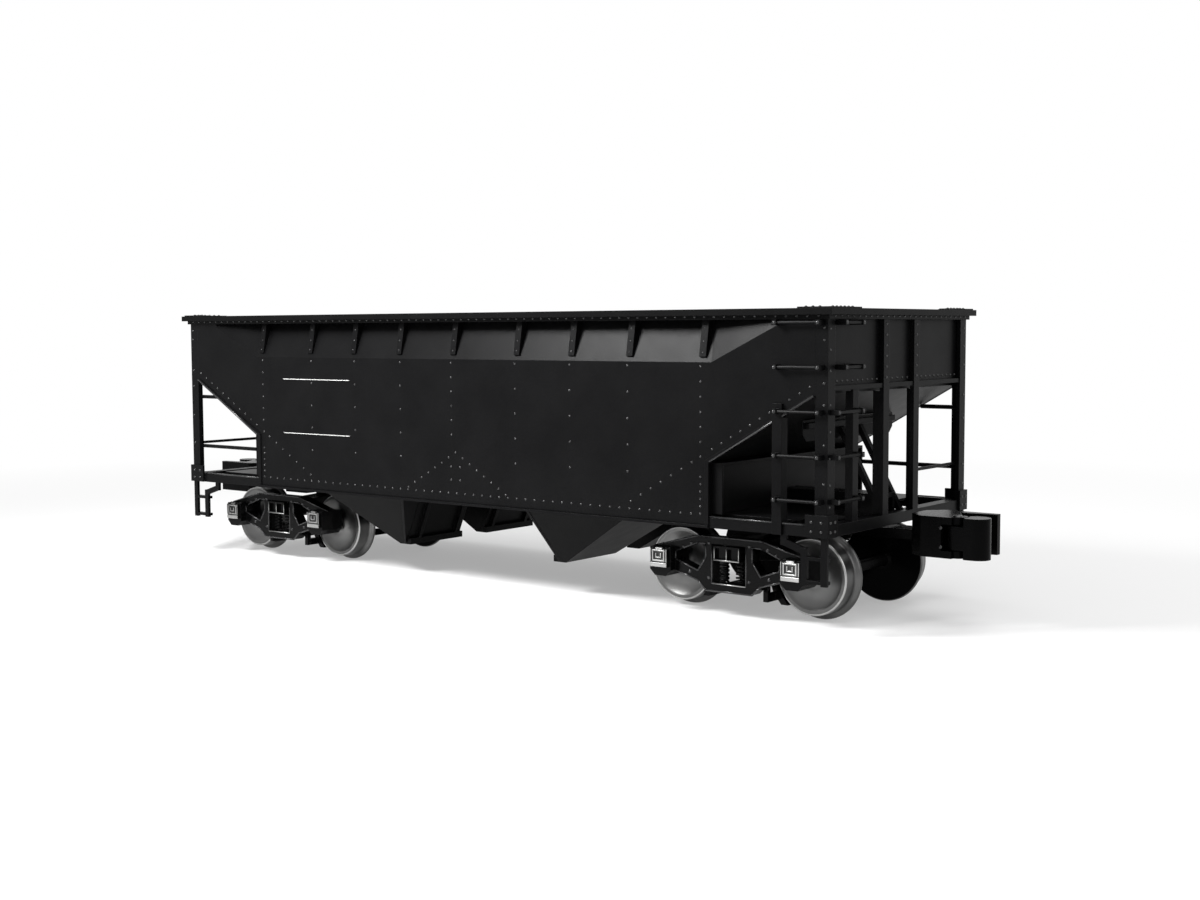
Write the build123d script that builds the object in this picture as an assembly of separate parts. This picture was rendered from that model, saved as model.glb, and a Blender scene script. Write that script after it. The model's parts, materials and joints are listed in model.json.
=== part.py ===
from build123d import *
import os
from math import atan2, cos, radians, sin, sqrt, tan

# O scale (1:48) two-bay offset-side hopper car, sizes in millimetres.
# X runs along the car, Y across it, Z up from the bottoms of the wheel flanges.

# Car body; insets are measured from the body's end
BODY_LENGTH = 212.2
BODY_WIDTH = 66.4
SHEET = 1.2
RIM_TOP = 69.3
RIM_THICK = 1.4
RIM_OVERHANG = 1.8
RIM_LEG_DEPTH = 2.3
RIM_LEG_THICK = 0.6
GUSSET_ALONG = 8.0
GUSSET_ACROSS = 13.4
GUSSET_WIDTH = 2.4
GUSSET_THICK = 0.3
GUSSET_MARGIN = 0.6
CREASE_Z = 57.7
CREASE_INSET = 29.2
OFFSET_DEPTH = 4.2
OFFSET_EDGE_INSET = 11.9
OFFSET_EDGE_Z = 66.0
OPEN_CORNER = 29.7
CUTOUT_TOP_Z = 52.0
SLOPE_DEG = 30.0
CUTOUT_FLANGE = 1.0
POST_LEG = 3.0
POST_THICK = 1.0
SHOE_LENGTH = 5.0
SHOE_ACROSS = 3.4
SHOE_HEIGHT = 4.8
SHOE_PLATE = 0.6
END_INSET = 1.2
END_LIP = 1.0

# Stakes over the offset panel
STAKE_INSET = 31.5
STAKE_PITCH = 20.2
STAKE_WIDTH = 1.8
STAKE_LEAN = 1.5
STAKE_FOOT = 1.2
MIDDLE_STAKE_X = -1.0

# Side sills
SILL_BOTTOM = 21.1
SILL_HEIGHT = 2.5
SILL_PLATE = 0.6
SILL_LEG = 0.8
SILL_LIP = 0.6
SILL_WIDTH = 3.2

# Hopper bays
RIDGE_TOP = 34.5
RIDGE_FOOT = 22.3
DOOR_LEAN = 5.4
DOOR_CLEAR = 6.0
DOOR_THICK = 1.0
DOOR_RIB = 1.0
DOOR_RIB_INSET = 3.0
DOOR_BAR = 1.6
BAY_BOTTOM = 8.0
BAY_MOUTH = 1.3
BAY_INSET = 7.0
BAY_INNER_Y = 5.0

# Underframe
CENTER_SILL_HALF = 3.4
CENTER_SILL_HEIGHT = 5.5
CENTER_SILL_WALL = 1.0
END_SILL_DEPTH = 3.2
BOLSTER_LENGTH = 9.0
BOLSTER_HEIGHT = 3.0
BOLSTER_PLATE = 1.0
BOLSTER_BELLY_Z = 18.3
BOLSTER_BELLY_Y = 19.5
DECK_LENGTH = 18.0
DECK_THICK = 0.5
BULKHEAD_THICK = 1.2
BULKHEAD_FLANGE = 1.5
HOOD_TOP = 31.0
HOOD_EAVES = 28.6
HOOD_WALL = 0.6
END_POST_Y = 6.0
END_POST_WIDTH = 2.6
END_POST_DEPTH = 2.6
BRACE_Y = 4.4
BRACE_WIDTH = 1.5
BRACE_THICK = 1.2
BRACE_DEG = 61.0

# Ladders, bars and steps
IRON_RADIUS = 0.4
CORNER_BAR_RADIUS = 0.52
BAR_SIDES = 8
IRON_STANDOFF = 1.4
BRACKET = 1.1
LADDER_INSET = 12.0
LADDER_FOOT = 28.7
LADDER_TOP_GAP = 1.6
RUNG_COUNT = 5
OPEN_RUNGS = 3
STILE_WIDTH = 2.4
STILE_THICK = 0.6
STILE_LEG = 1.8
STILE_RISE = 2.7
END_STILE_INSET = 12.0
CORNER_BARS = (31.5, 45.9)
END_BAR_Z = 32.4
STEP_TREADS = (16.5, 11.5)
STEP_REACH = 10.6
STEP_WAIST = 5.6
STEP_STRAP = 1.5
STEP_THICK = 0.8

# Trucks, placed by the distance of their centers from the body's end
TRUCK_INSET = 29.2
AXLE_SPACING = 35.1
TREAD_DIAMETER = 17.5
FLANGE_HEIGHT = 1.3
FLANGE_WIDTH = 1.1
WHEEL_BACK = 14.2
WHEEL_FACE = 19.3
WHEEL_RIM = 1.5
WHEEL_DISH = 1.3
WHEEL_SIDES = 36
AXLE_RADIUS = 1.5
AXLE_SIDES = 12
JOURNAL_RADIUS = 1.0
JOURNAL_END = 25.0
JOURNAL_SLACK = 0.4
RUNNING_GAP = 0.05
FRAME_IN = 22.6
FRAME_OUT = 26.0
FRAME_HIGH = 18.0
FRAME_LOW = 5.7
CHORD = 1.6
CHORD_RUN = 8.6
WINDOW_HALF = 4.6
PLANK_TOP = 7.4
COLUMN = 1.6
MEMBER_Z = 10.0
MEMBER_X = 8.4
BOX_OUT = 28.0
BOX_IN = 20.6
BOX_HALF = 2.9
BOX_LOW = 8.2
BOX_HIGH = 14.8
BOX_CORNER = 1.4
LID_HALF = 2.3
LID_LOW = 10.3
LID_HIGH = 14.5
LID_THICK = 0.6
TRUCK_BOLSTER_HALF = 3.5
TRUCK_BOLSTER_TOP = 17.0
TRUCK_BOLSTER_BELLY = 11.2
BOLSTER_END_LOW = 12.8
BOLSTER_END_HIGH = 16.2
BOLSTER_END = 1.0
POCKET_DEPTH = 0.8
POCKET_WALL = 0.5
CENTER_PLATE_RADIUS = 6.0
CENTER_PLATE_GAP = 0.3
KINGPIN_RADIUS = 1.6
KINGPIN_END = 12.6
SPRING_RADIUS = 1.2
SPRING_SIDES = 10
SPRING_SPREAD = 2.2
SHOE_GAP = 0.5
SHOE_THICK = 1.8
SHOE_SPAN = (7.0, 2.0)
BEAM_GAP = 0.3
BEAM_DEEP = 1.2
BEAM_DROP = 4.4
BEAM_HIGH = 1.8
HANGER_TOP = 8.6

# Couplers, from the body's end to the knuckle's face
COUPLER_REACH = 23.0
COUPLER_TOP = 24.0
COUPLER_BOTTOM = 15.0
NECK_REACH = 4.6
FLARE = 3.5
JAW_REACH = 13.0
ARM_TOP = 20.2
ARM_THICK = 2.2
ARM_HALF = 3.4
ARM_CLEAR = 1.5
ROOT_LOW = 13.0
HEAD_HALF = 6.5
GUARD_WIDTH = 3.0
GUARD_TIP = 2.0
KNUCKLE_BACK = 7.5
KNUCKLE_Y = -3.4
KNUCKLE_PIN = 1.2
KNUCKLE_RADIUS = 2.2
KNUCKLE_NOSE = 2.9
KNUCKLE_GAP = 0.3
LUG_THICK = 1.6
CHEEK_REACH = 2.6

AXLE_Z = FLANGE_HEIGHT + TREAD_DIAMETER / 2
TREAD = TREAD_DIAMETER / 2
FLANGE = TREAD + FLANGE_HEIGHT
HALF_L = BODY_LENGTH / 2
HALF_W = BODY_WIDTH / 2
RIM_UNDER = RIM_TOP - RIM_THICK
RIM_LEG_LOW = RIM_TOP - RIM_LEG_DEPTH
SLOPE = tan(radians(SLOPE_DEG))
SLOPE_RISE = SHEET / cos(radians(SLOPE_DEG))
END_X = HALF_L - END_INSET
INNER_Y = HALF_W - SHEET
SILL_INNER_Y = HALF_W - SILL_WIDTH
CUTOUT_X = HALF_L - OPEN_CORNER
TRUCK_X = HALF_L - TRUCK_INSET
LADDER_X = HALF_L - LADDER_INSET
STAKE_END = HALF_L - STAKE_INSET
STAKE_OUT = (STAKE_PITCH, STAKE_END / 2, STAKE_END - STAKE_PITCH, STAKE_END)
STAKE_X = [MIDDLE_STAKE_X] + [side * x for x in STAKE_OUT for side in (1, -1)]
PLATE_BOTTOM = SILL_BOTTOM + SILL_PLATE
SILL_TOP = SILL_BOTTOM + SILL_HEIGHT
CENTER_SILL_BOTTOM = SILL_BOTTOM + BOLSTER_PLATE
CENTER_SILL_TOP = CENTER_SILL_BOTTOM + CENTER_SILL_HEIGHT
BOLSTER_TOP = SILL_BOTTOM + BOLSTER_HEIGHT
DOOR_BOTTOM_X = END_X - (CUTOUT_TOP_Z - BAY_BOTTOM) / SLOPE - BAY_MOUTH
DOOR_TOP_X = DOOR_BOTTOM_X - DOOR_LEAN
RIDGE_DROP = SHEET / cos(atan2(RIDGE_TOP - RIDGE_FOOT, DOOR_TOP_X))
DOOR_TOP = RIDGE_FOOT - RIDGE_DROP
RUNG_PITCH = (RIM_UNDER - LADDER_TOP_GAP - LADDER_FOOT) / (RUNG_COUNT - 1)
RUNG_Z = [LADDER_FOOT + i * RUNG_PITCH for i in range(RUNG_COUNT)]
END_STILE_Y = HALF_W - END_STILE_INSET
HALF_BASE = AXLE_SPACING / 2
COUPLER_FACE = HALF_L + COUPLER_REACH
KNUCKLE_X = COUPLER_FACE - KNUCKLE_BACK
JAW_X = HALF_L + JAW_REACH
PAST = 10 * HALF_L

ON_BASE = (Align.CENTER, Align.CENTER, Align.MIN)


def block(x0, x1, y0, y1, z0, z1):
    return Pos((x0 + x1) / 2, (y0 + y1) / 2, (z0 + z1) / 2) * Box(x1 - x0, y1 - y0, z1 - z0)


def side_plate(points, y0, y1):
    """A flat plate with its outline in X and Z, between two Y planes."""
    outline = Polygon(*points, align=None)
    return extrude(Plane.XZ.offset(-y1) * outline, y1 - y0, dir=(0, -1, 0))


def cross_plate(points, x0, x1):
    """A plate with its outline in Y and Z, between two X planes."""
    outline = Polygon(*points, align=None)
    return extrude(Plane.YZ.offset(x0) * outline, x1 - x0, dir=(1, 0, 0))


def flat_plate(points, z0, z1):
    """A plate with its outline in X and Y, between two heights."""
    outline = Polygon(*points, align=None)
    return extrude(Plane.XY.offset(z0) * outline, z1 - z0, dir=(0, 0, 1))


def post(radius, x, y, z0, z1):
    return Pos(x, y, z0) * Cylinder(radius, z1 - z0, align=ON_BASE)


def bar(start, end, radius):
    """An eight-sided bar between two points."""
    run = Vector(*end) - Vector(*start)
    section = Plane(origin=start, z_dir=run) * RegularPolygon(radius, BAR_SIDES)
    return extrude(section, run.length, dir=run)


def fuse(shapes):
    whole = shapes[0]
    for shape in shapes[1:]:
        whole = whole + shape
    return whole


def far(shape):
    """The same piece on the car's far side."""
    return mirror(shape, Plane.XZ)


def left(shape):
    """The same piece half a turn round the car's middle, on the left end or the far side."""
    return shape.rotate(Axis.Z, 180)


def at_truck(shape):
    return Pos(TRUCK_X, 0, 0) * shape


def slope_z(x):
    """Height of the end slope sheet's underside."""
    return CUTOUT_TOP_Z - (END_X - x) * SLOPE


def slope_x(z):
    return END_X - (CUTOUT_TOP_Z - z) / SLOPE


def offset_wedge(y_out, y_in):
    """What the inward slope of the upper side takes off a full side."""
    edge_x = HALF_L - OFFSET_EDGE_INSET
    prism = cross_plate([(y_out, CREASE_Z), (y_out, RIM_TOP), (y_in, RIM_TOP)], -edge_x, edge_x)
    crease = Vector(HALF_L - CREASE_INSET, y_out, CREASE_Z)
    edge = Vector(edge_x, y_out, OFFSET_EDGE_Z)
    inner = Vector(STAKE_END + STAKE_WIDTH / 2, y_in, RIM_TOP)
    cut = Plane(origin=crease, x_dir=edge - crease, z_dir=(edge - crease).cross(inner - crease))
    if cut.z_dir.X < 0:
        cut = -cut
    beyond = cut * Box(PAST, PAST, PAST, align=ON_BASE)
    wedge = prism - beyond
    return wedge - mirror(beyond, Plane.YZ)


def side_panel():
    """One side: flat lower sheet, inward-sloping upper sheet, open corners with an edge angle."""
    edge = HALF_L - POST_LEG
    half = [
        (edge, RIM_UNDER),
        (edge, slope_z(edge)),
        (CUTOUT_X, slope_z(CUTOUT_X)),
        (CUTOUT_X, PLATE_BOTTOM),
    ]
    outline = half + [(-x, z) for x, z in reversed(half)]
    full = side_plate(outline, -HALF_W, -HALF_W + OFFSET_DEPTH + SHEET)
    skin = full - offset_wedge(-HALF_W, -HALF_W + OFFSET_DEPTH)
    skin = skin - Pos(0, SHEET, 0) * skin
    lip = [
        (CUTOUT_X - CUTOUT_FLANGE, PLATE_BOTTOM),
        (CUTOUT_X - CUTOUT_FLANGE, slope_z(CUTOUT_X) + CUTOUT_FLANGE / 2),
        (edge - CUTOUT_FLANGE, slope_z(edge)),
        (edge, slope_z(edge)),
        (CUTOUT_X, slope_z(CUTOUT_X)),
        (CUTOUT_X, PLATE_BOTTOM),
    ]
    for side in (1, -1):
        skin = skin + side_plate([(side * x, z) for x, z in lip], -HALF_W - SILL_PLATE / 2, -HALF_W)
    return skin


def stakes():
    """Tapered stakes between the crease and the rim, on the sloping panel."""
    run = OFFSET_DEPTH / (RIM_TOP - CREASE_Z)
    foot = CREASE_Z + STAKE_FOOT
    half = STAKE_WIDTH / 2
    profile = [
        (-HALF_W, foot),
        (-HALF_W + STAKE_LEAN, RIM_UNDER),
        (-HALF_W + run * (RIM_UNDER - CREASE_Z), RIM_UNDER),
        (-HALF_W + run * (foot - CREASE_Z), foot),
    ]
    return [cross_plate(profile, x - half, x + half) for x in STAKE_X]


def top_rim():
    """Top flange all round, its leg outside the posts, and an angled gusset on each corner."""
    flange = block(
        -HALF_L - RIM_OVERHANG, HALF_L + RIM_OVERHANG, -HALF_W - RIM_OVERHANG, HALF_W + RIM_OVERHANG,
        RIM_UNDER, RIM_TOP,
    )
    leg_x = HALF_L + RIM_LEG_THICK
    leg_y = HALF_W + RIM_LEG_THICK
    leg = block(-leg_x, leg_x, -leg_y, leg_y, RIM_LEG_LOW, RIM_UNDER)
    leg = leg - block(-HALF_L, HALF_L, -HALF_W, HALF_W, RIM_LEG_LOW, RIM_UNDER)
    out_x = HALF_L + RIM_OVERHANG - GUSSET_MARGIN
    out_y = HALF_W + RIM_OVERHANG - GUSSET_MARGIN
    top = RIM_TOP + GUSSET_THICK
    rim = flange + leg
    for sx in (1, -1):
        for sy in (1, -1):
            for along, across in ((GUSSET_ALONG, GUSSET_WIDTH), (GUSSET_WIDTH, GUSSET_ACROSS)):
                x0, x1 = sorted((sx * out_x, sx * (out_x - along)))
                y0, y1 = sorted((sy * out_y, sy * (out_y - across)))
                rim = rim + block(x0, x1, y0, y1, RIM_TOP, top)
    open_x = END_X - SHEET
    open_y = HALF_W - OFFSET_DEPTH - SHEET
    return rim - block(-open_x, open_x, -open_y, open_y, RIM_LEG_LOW, top)


def end_sheet():
    sheet = block(END_X - SHEET, END_X, -INNER_Y, INNER_Y, CUTOUT_TOP_Z, RIM_UNDER)
    edge = HALF_W - POST_LEG
    post_out = END_POST_Y + END_POST_WIDTH
    for y0, y1 in ((-edge, -post_out), (-END_POST_Y, END_POST_Y), (post_out, edge)):
        sheet = sheet + block(END_X, END_X + END_LIP, y0, y1, CUTOUT_TOP_Z, CUTOUT_TOP_Z + END_LIP)
    return sheet


def sill_space(grow):
    """Room for the center sill, grown by a wall."""
    half = CENTER_SILL_HALF + grow
    return block(-HALF_L, HALF_L, -half, half, 0, CENTER_SILL_TOP + grow)


def slope_sheet():
    low = slope_x(SILL_BOTTOM)
    top_x = END_X - SHEET
    points = [
        (low, slope_z(low)),
        (top_x, slope_z(top_x)),
        (top_x, slope_z(top_x) + SLOPE_RISE),
        (low, slope_z(low) + SLOPE_RISE),
    ]
    sheet = side_plate(points, -INNER_Y, INNER_Y) - sill_space(0)
    return sheet - side_sill() - far(side_sill())


def ridge_z(x):
    """Height of the center ridge's upper face."""
    return RIDGE_TOP - abs(x) * (RIDGE_TOP - RIDGE_FOOT) / DOOR_TOP_X


def center_ridge():
    upper = [(x, ridge_z(x)) for x in (DOOR_TOP_X, 0, -DOOR_TOP_X)]
    lower = [(x, z - RIDGE_DROP) for x, z in reversed(upper)]
    ridge = side_plate(upper + lower, -INNER_Y, INNER_Y) - sill_space(0)
    return ridge - side_sill() - far(side_sill())


def sill_hood():
    """Peaked cover of the center sill through the right bay."""
    profile = [
        (-BAY_INNER_Y, SILL_BOTTOM),
        (-BAY_INNER_Y, HOOD_EAVES),
        (0, HOOD_TOP),
        (BAY_INNER_Y, HOOD_EAVES),
        (BAY_INNER_Y, SILL_BOTTOM),
    ]
    cover = cross_plate(profile, 0, slope_x(HOOD_TOP))
    cover = cover - sill_space(BAY_INNER_Y - CENTER_SILL_HALF - HOOD_WALL)
    ridge = [(0, 0), (0, RIDGE_TOP), (DOOR_TOP_X, RIDGE_FOOT), (DOOR_TOP_X, 0)]
    slope = [
        (slope_x(0), SLOPE_RISE),
        (END_X, slope_z(END_X) + SLOPE_RISE),
        (END_X, 0),
        (slope_x(0), 0),
    ]
    reach = 2 * BAY_INNER_Y
    return cover - side_plate(ridge, -reach, reach) - side_plate(slope, -reach, reach)


def bay_space(wall_x, wall_y, y_in):
    """The near-side chute's outline, its door side and walls drawn in by these amounts."""
    y_top = -INNER_Y + SILL_LEG + wall_y
    y_low = -INNER_Y + BAY_INSET + wall_y
    door = 0 if wall_x == 0 else DOOR_CLEAR
    profile = [
        (DOOR_TOP_X - door, SILL_BOTTOM),
        (slope_x(SILL_BOTTOM) - wall_x, SILL_BOTTOM),
        (slope_x(BAY_BOTTOM) - wall_x, BAY_BOTTOM),
        (DOOR_BOTTOM_X - door, BAY_BOTTOM),
    ]
    lean = [(y_top, SILL_BOTTOM), (y_low, BAY_BOTTOM), (y_top, BAY_BOTTOM)]
    body = side_plate(profile, y_top, y_in)
    return body - cross_plate(lean, 0, END_X)


def bay_chute():
    """Near-side chute of the right bay: slope, leaning outer wall, inner wall, open to its door."""
    inner = bay_space(SHEET / sin(radians(SLOPE_DEG)), SHEET, -BAY_INNER_Y - SHEET)
    return bay_space(0, 0, -BAY_INNER_Y) - inner


def door_strip(x_in, x_out, y0, y1):
    """A plate parallel to the door, this far in front of its back face."""
    points = [
        (DOOR_BOTTOM_X - x_in, BAY_BOTTOM),
        (DOOR_TOP_X - x_in, DOOR_TOP),
        (DOOR_TOP_X - x_out, DOOR_TOP),
        (DOOR_BOTTOM_X - x_out, BAY_BOTTOM),
    ]
    return side_plate(points, y0, y1)


def bay_door():
    """Steep door that closes the near-side chute, with two ribs and a locking bar."""
    y0 = -INNER_Y + BAY_INSET
    y1 = -BAY_INNER_Y
    face = DOOR_THICK + DOOR_RIB
    rib_y = (y0 + DOOR_RIB_INSET, y1 - DOOR_RIB_INSET)
    ribs = [door_strip(DOOR_THICK, face, y, y + DOOR_RIB) for y in rib_y]
    low_x = DOOR_BOTTOM_X - DOOR_THICK
    lock = block(low_x - DOOR_BAR, low_x, y0, y1, BAY_BOTTOM, BAY_BOTTOM + DOOR_BAR)
    return fuse([door_strip(0, DOOR_THICK, y0, y1)] + ribs + [lock])


def center_sill():
    """Channel sill with its open side down, from end sill to end sill."""
    end = HALF_L - END_SILL_DEPTH
    half = CENTER_SILL_HALF
    wall = CENTER_SILL_WALL
    channel = block(-end, end, -half, half, CENTER_SILL_BOTTOM, CENTER_SILL_TOP)
    return channel - block(-end, end, wall - half, half - wall, 0, CENTER_SILL_TOP - wall)


def side_sill():
    """Angle inside the foot of a side, flush with it across the open corners."""
    reach = HALF_L - POST_THICK
    inside = -INNER_Y + SILL_LEG
    leg = block(-reach, reach, -INNER_Y, inside, SILL_BOTTOM, SILL_TOP)
    plate = block(-HALF_L, HALF_L, -HALF_W, -SILL_INNER_Y, SILL_BOTTOM, PLATE_BOTTOM)
    lip = block(-CUTOUT_X, CUTOUT_X, -HALF_W - SILL_LIP, -HALF_W, SILL_BOTTOM, PLATE_BOTTOM)
    corner = block(CUTOUT_X, HALF_L - POST_LEG, -HALF_W, inside, SILL_BOTTOM, SILL_TOP)
    return fuse([leg, plate, lip, corner, mirror(corner, Plane.YZ)])


def end_sill():
    """Cross channel between the corner posts, open inward."""
    x0 = HALF_L - END_SILL_DEPTH
    reach = SILL_INNER_Y
    web = block(x0, HALF_L, -reach, reach, SILL_BOTTOM, SILL_TOP)
    return web - block(x0, HALF_L - POST_THICK, -reach, reach, PLATE_BOTTOM, SILL_TOP - SILL_PLATE)


def corner_post():
    """Angle post with the shoe wrapped round its foot."""
    outer = block(HALF_L - POST_LEG, HALF_L, -HALF_W, -HALF_W + POST_LEG, PLATE_BOTTOM, RIM_UNDER)
    angle = outer - block(0, HALF_L - POST_THICK, -HALF_W + POST_THICK, 0, 0, RIM_TOP)
    plate = SHOE_PLATE
    top = SILL_BOTTOM + SHOE_HEIGHT
    shoe = block(
        HALF_L - SHOE_LENGTH, HALF_L + plate, -HALF_W - plate, -HALF_W + SHOE_ACROSS, SILL_BOTTOM, top
    )
    return angle + (shoe - block(0, HALF_L, -HALF_W, HALF_W, 0, RIM_TOP))


def end_post():
    """Angle post: proud of the end sheet above, full depth across the opening."""
    y0 = -END_POST_Y - END_POST_WIDTH
    y1 = -END_POST_Y
    face = block(END_X, HALF_L, y0, y1, CUTOUT_TOP_Z, RIM_UNDER)
    flange = block(HALF_L - POST_THICK, HALF_L, y0, y1, SILL_TOP, CUTOUT_TOP_Z)
    deep_x = HALF_L - END_POST_DEPTH
    web = block(deep_x, HALF_L, y0, y0 + POST_THICK, SILL_TOP, slope_z(deep_x))
    return fuse([face, flange, web])


def end_brace():
    """Steep bar from the end sill to the slope sheet, on the near side of the middle."""
    foot_x = HALF_L - END_SILL_DEPTH
    steep = tan(radians(BRACE_DEG))
    wide = BRACE_THICK / sin(radians(BRACE_DEG))
    y0 = -BRACE_Y - BRACE_WIDTH / 2
    tops = []
    for x in (foot_x, foot_x + wide):
        rise = (slope_z(x) - SILL_TOP) / (1 + SLOPE / steep)
        tops.append((x - rise / steep, SILL_TOP + rise))
    points = [(foot_x, SILL_TOP), tops[0], tops[1], (foot_x + wide, SILL_TOP)]
    return side_plate(points, y0, y0 + BRACE_WIDTH)


def body_bolster():
    """Cross bearer over the truck with its deck plate, center plate and kingpin."""
    x0 = TRUCK_X - BOLSTER_LENGTH / 2
    x1 = TRUCK_X + BOLSTER_LENGTH / 2
    bearer = block(x0, x1, -SILL_INNER_Y, SILL_INNER_Y, SILL_BOTTOM, BOLSTER_TOP)
    deck_x = CUTOUT_X + BULKHEAD_THICK
    deck_low = BOLSTER_TOP - DECK_THICK
    deck = block(deck_x, deck_x + DECK_LENGTH, -SILL_INNER_Y, SILL_INNER_Y, deck_low, BOLSTER_TOP)
    slot = block(0, HALF_L, -CENTER_SILL_HALF, CENTER_SILL_HALF, CENTER_SILL_BOTTOM, BOLSTER_TOP)
    plate_low = TRUCK_BOLSTER_TOP + CENTER_PLATE_GAP
    belly = block(x0, x1, -BOLSTER_BELLY_Y, BOLSTER_BELLY_Y, BOLSTER_BELLY_Z, SILL_BOTTOM)
    plate = post(CENTER_PLATE_RADIUS, TRUCK_X, 0, plate_low, SILL_BOTTOM)
    pin = post(KINGPIN_RADIUS, TRUCK_X, 0, KINGPIN_END, SILL_BOTTOM)
    return bearer + deck - slot + belly + plate + pin


def bulkhead():
    """Cross web on the bolster that carries the slope sheet, with flanges on its top and edges."""
    x0 = CUTOUT_X
    x1 = CUTOUT_X + BULKHEAD_THICK
    x2 = x1 + BULKHEAD_FLANGE
    flange = SILL_PLATE
    top = slope_z(x0)
    points = [
        (x0, BOLSTER_TOP),
        (x1, BOLSTER_TOP),
        (x1, top - flange),
        (x2, top - flange),
        (x2, top),
        (x0, top),
    ]
    web = side_plate(points, -INNER_Y, INNER_Y)
    web = web - block(x0, x2, -CENTER_SILL_HALF, CENTER_SILL_HALF, 0, CENTER_SILL_TOP)
    edge = block(x1, x2, INNER_Y - flange, INNER_Y, BOLSTER_TOP, top - flange)
    return fuse([web, edge, far(edge)])


def side_rung(x0, x1, z):
    """Rung on the near side between two brackets."""
    y = -HALF_W - IRON_STANDOFF
    half = BRACKET / 2
    brackets = [block(x - half, x + half, y - half, -HALF_W, z - half, z + half) for x in (x0, x1)]
    return fuse([bar((x0, y, z), (x1, y, z), IRON_RADIUS)] + brackets)


def end_rung(y0, y1, z, base):
    """Rung on the right end between two brackets on a face at this X."""
    x = HALF_L + IRON_STANDOFF
    half = BRACKET / 2
    brackets = [block(base, x + half, y - half, y + half, z - half, z + half) for y in (y0, y1)]
    return fuse([bar((x, y0, z), (x, y1, z), IRON_RADIUS)] + brackets)


def side_ladder():
    """Rungs of the near side's right corner, with the angle stile across the open corner."""
    post_x = HALF_L - POST_LEG / 2
    rungs = [side_rung(LADDER_X, post_x, z) for z in RUNG_Z]
    x0 = LADDER_X - STILE_WIDTH / 2
    x1 = LADDER_X + STILE_WIDTH / 2
    face = block(x0, x1, -HALF_W - STILE_THICK, -HALF_W, SILL_BOTTOM, slope_z(x1) + STILE_RISE)
    leg_x = x1 - STILE_THICK
    leg = block(leg_x, x1, -HALF_W - STILE_THICK, -HALF_W + STILE_LEG, SILL_TOP, slope_z(leg_x))
    stile = fuse([face, leg]) - side_panel()
    return [fuse([stile] + rungs[:OPEN_RUNGS])] + rungs[OPEN_RUNGS:]


def end_ladder():
    """Rungs of the right end's near corner, with the angle stile between end sill and end sheet."""
    post_y = -HALF_W + POST_LEG / 2
    y0 = -END_STILE_Y - STILE_WIDTH / 2
    face = block(HALF_L - STILE_THICK, HALF_L, y0, y0 + STILE_WIDTH, SILL_TOP, CUTOUT_TOP_Z)
    leg_x = HALF_L - STILE_LEG
    leg = block(leg_x, HALF_L, y0, y0 + STILE_THICK, SILL_TOP, slope_z(leg_x))
    open_rungs = [end_rung(post_y, -END_STILE_Y, z, HALF_L) for z in RUNG_Z[:OPEN_RUNGS]]
    sheet_y = post_y + POST_LEG
    sheet_rungs = [end_rung(sheet_y, -END_STILE_Y, z, END_X) for z in RUNG_Z[OPEN_RUNGS:]]
    return [fuse([face, leg] + open_rungs)] + sheet_rungs


def corner_bars():
    """Bars across the right end's open corner without a ladder, on the far side and the end."""
    y = HALF_W - POST_LEG / 2
    post_x = HALF_L - POST_THICK
    radius = CORNER_BAR_RADIUS
    bars = []
    for z in CORNER_BARS:
        start = max(slope_x(z + radius), CUTOUT_X + BULKHEAD_THICK + BULKHEAD_FLANGE)
        bars.append(bar((start, y, z), (post_x, y, z), radius))
    x = HALF_L - POST_THICK - IRON_RADIUS
    near = (x, END_POST_Y + END_POST_WIDTH, END_BAR_Z)
    bars.append(bar(near, (x, HALF_W - POST_THICK, END_BAR_Z), IRON_RADIUS))
    return bars


def strip(a, b, width, y0, y1):
    """Flat bar in a plane across Y from point a to point b, given as X and Z."""
    run = Vector(b[0] - a[0], 0, b[1] - a[1])
    middle = Vector((a[0] + b[0]) / 2, (y0 + y1) / 2, (a[1] + b[1]) / 2)
    return Plane(origin=middle, x_dir=run, z_dir=(0, 1, 0)) * Box(run.length, width, y1 - y0)


def step():
    """Two-tread stirrup step below the near side's right corner."""
    y0 = -HALF_W
    y1 = -HALF_W + STEP_THICK
    half = STEP_STRAP / 2
    out_x = HALF_L - half
    in_x = HALF_L - STEP_REACH
    waist_x = HALF_L - STEP_WAIST
    waist = STEP_TREADS[0] + STEP_STRAP
    knee = SILL_BOTTOM - STEP_STRAP
    low = STEP_TREADS[1] - half
    legs = [
        block(out_x - half, out_x + half, y0, y1, low, SILL_BOTTOM),
        block(in_x - half, in_x + half, y0, y1, knee - half, SILL_BOTTOM),
        strip((in_x, knee), (waist_x, waist), STEP_STRAP, y0, y1),
        block(waist_x - half, waist_x + half, y0, y1, low, waist + half),
    ]
    for z in STEP_TREADS:
        legs.append(block(waist_x - half, out_x + half, y0, y1 + half, z - half / 2, z + half / 2))
    return fuse(legs)


def disc(radius, z0, z1):
    """A round of many flat sides, between two heights."""
    section = Plane.XY.offset(z0) * RegularPolygon(radius, WHEEL_SIDES)
    return extrude(section, z1 - z0, dir=(0, 0, 1))


def wheel():
    """Flanged wheel from its back face up, with a dished front."""
    depth = WHEEL_FACE - WHEEL_BACK
    dish = disc(TREAD - WHEEL_RIM, depth - WHEEL_DISH, depth)
    return disc(TREAD, 0, depth) + disc(FLANGE, 0, FLANGE_WIDTH) - dish


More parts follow.
